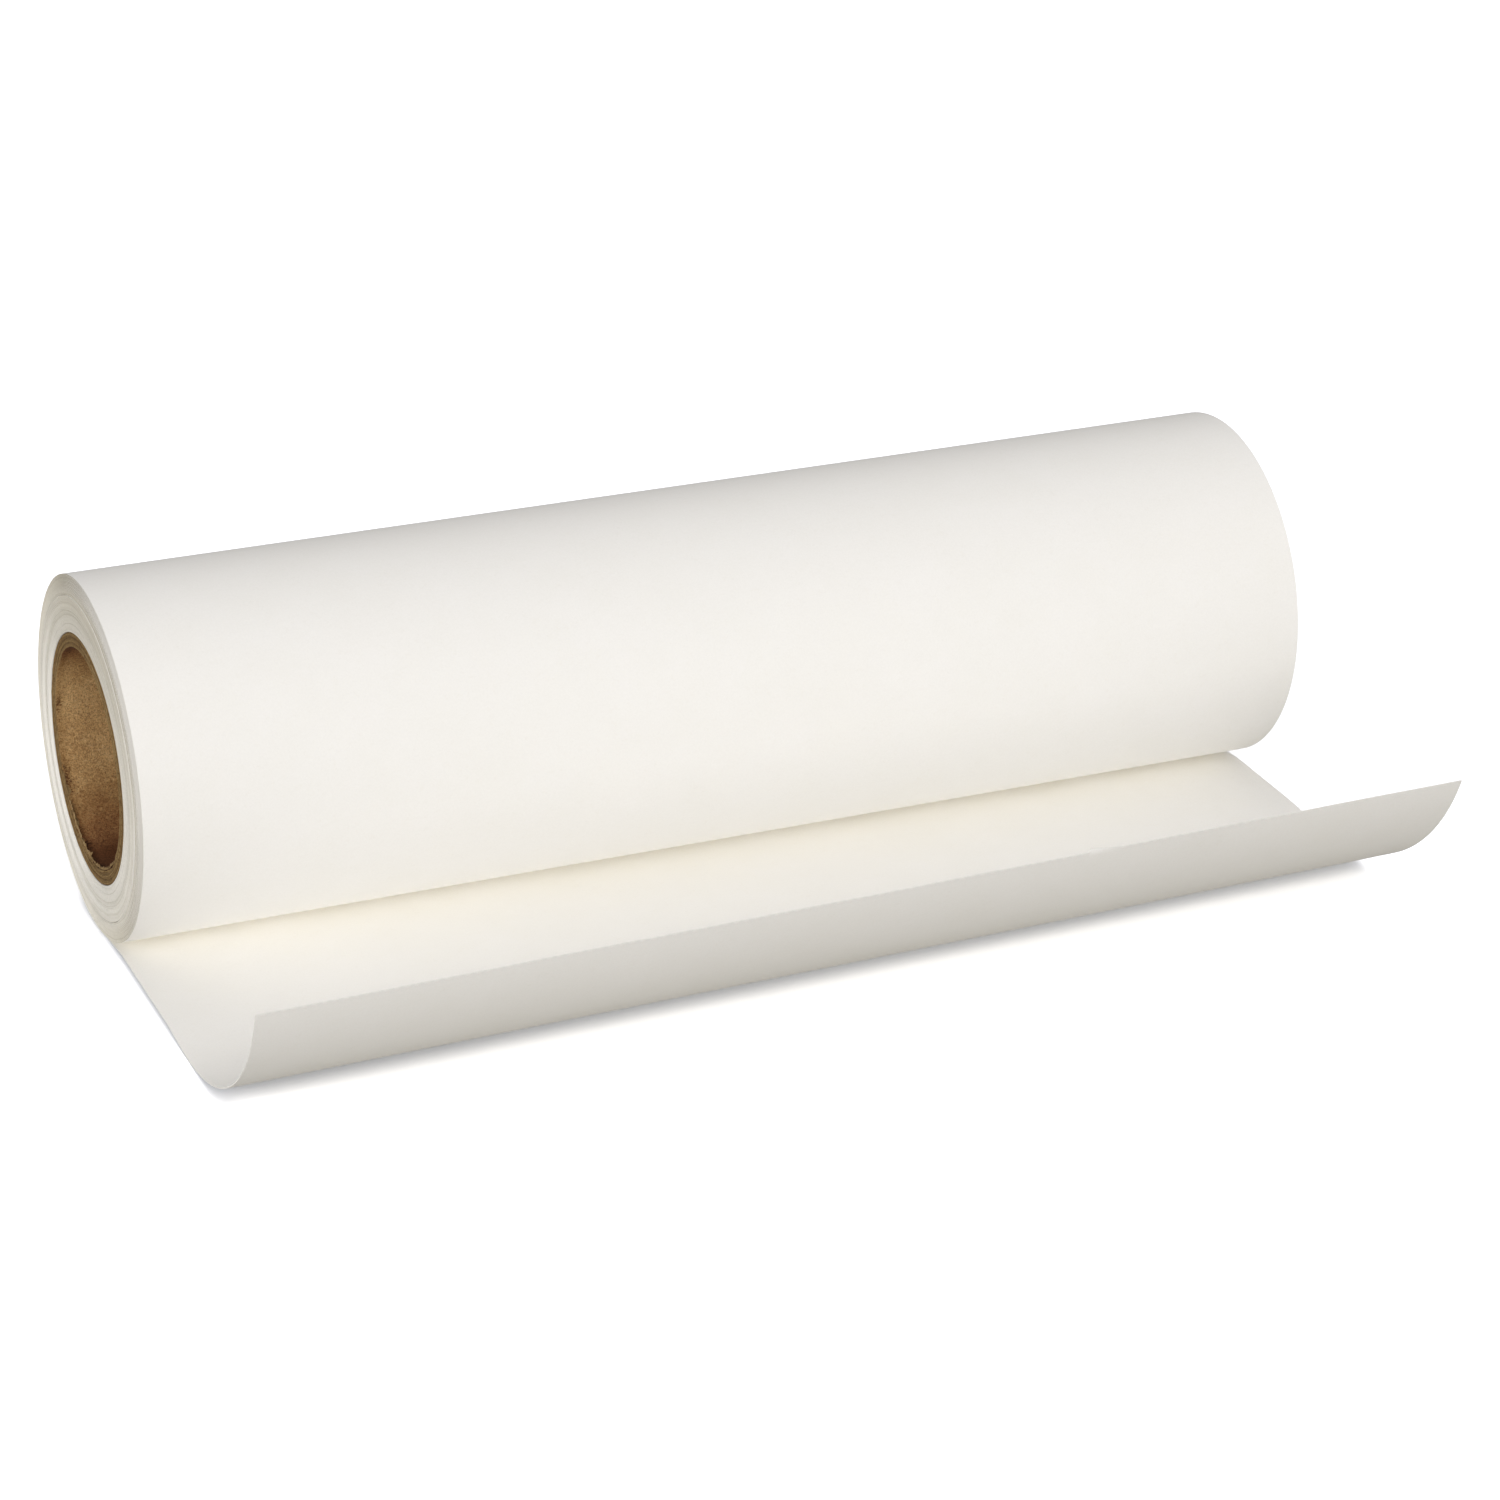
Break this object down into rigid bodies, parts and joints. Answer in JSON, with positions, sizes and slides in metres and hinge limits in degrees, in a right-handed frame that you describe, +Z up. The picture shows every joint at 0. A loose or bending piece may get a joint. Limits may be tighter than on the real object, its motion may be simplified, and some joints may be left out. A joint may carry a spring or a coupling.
{
  "type": "backdrop paper roll",
  "caption": "Wide web of heavy white matte paper wound on a paperboard core, lying on the floor with its free end paid out and its leading edge curling up.",
  "frame": {"origin": "on the floor, straight below the roll's axis and half way along it, on the underside of the layer of paper that the roll stands on", "axes": "+X along the roll's axis, +Z up, -Y towards the free end of the paper"},
  "size_m": [0.4334, 0.248, 0.1269],
  "materials": {
    "paper": "matte",
    "core_liner": "matte",
    "core_board": "matte",
    "tape": "satin"
  },
  "bodies": {
    "base": {"paper_under_roll": "paper"},
    "roll": {"core_inner_liner": "core_liner", "core_ply_1": "core_board", "core_ply_2": "core_board", "core_ply_3": "core_board", "core_ply_4": "core_board", "core_ply_5": "core_board", "core_ply_6": "core_board", "core_ply_7": "core_board", "core_ply_8": "core_board", "core_outer_liner": "core_board", "start_tape": "tape", "paper_wound": "paper"},
    "sheet": {"paper_on_floor": "paper"},
    "edge": {"paper_leading_edge": "paper"}
  },
  "joints": [
    {"name": "roll_spin", "type": "hinge", "parent": "base", "child": "roll", "pos_m": [0, 0, 0.06375], "axis": [-1, 0, 0], "range_deg": [0, 900]},
    {"name": "web_feed", "type": "slide", "parent": "base", "child": "sheet", "axis": [0, -1, 0], "range_m": [0, 0.998]},
    {"name": "edge_lift", "type": "hinge", "parent": "sheet", "child": "edge", "pos_m": [0, -0.0839, 0.00022], "axis": [-1, 0, 0], "range_deg": [0, 60]}
  ],
  "couplings": [
    {"joint": "web_feed", "follows": "roll_spin", "m_per_rad": 0.063525}
  ]
}
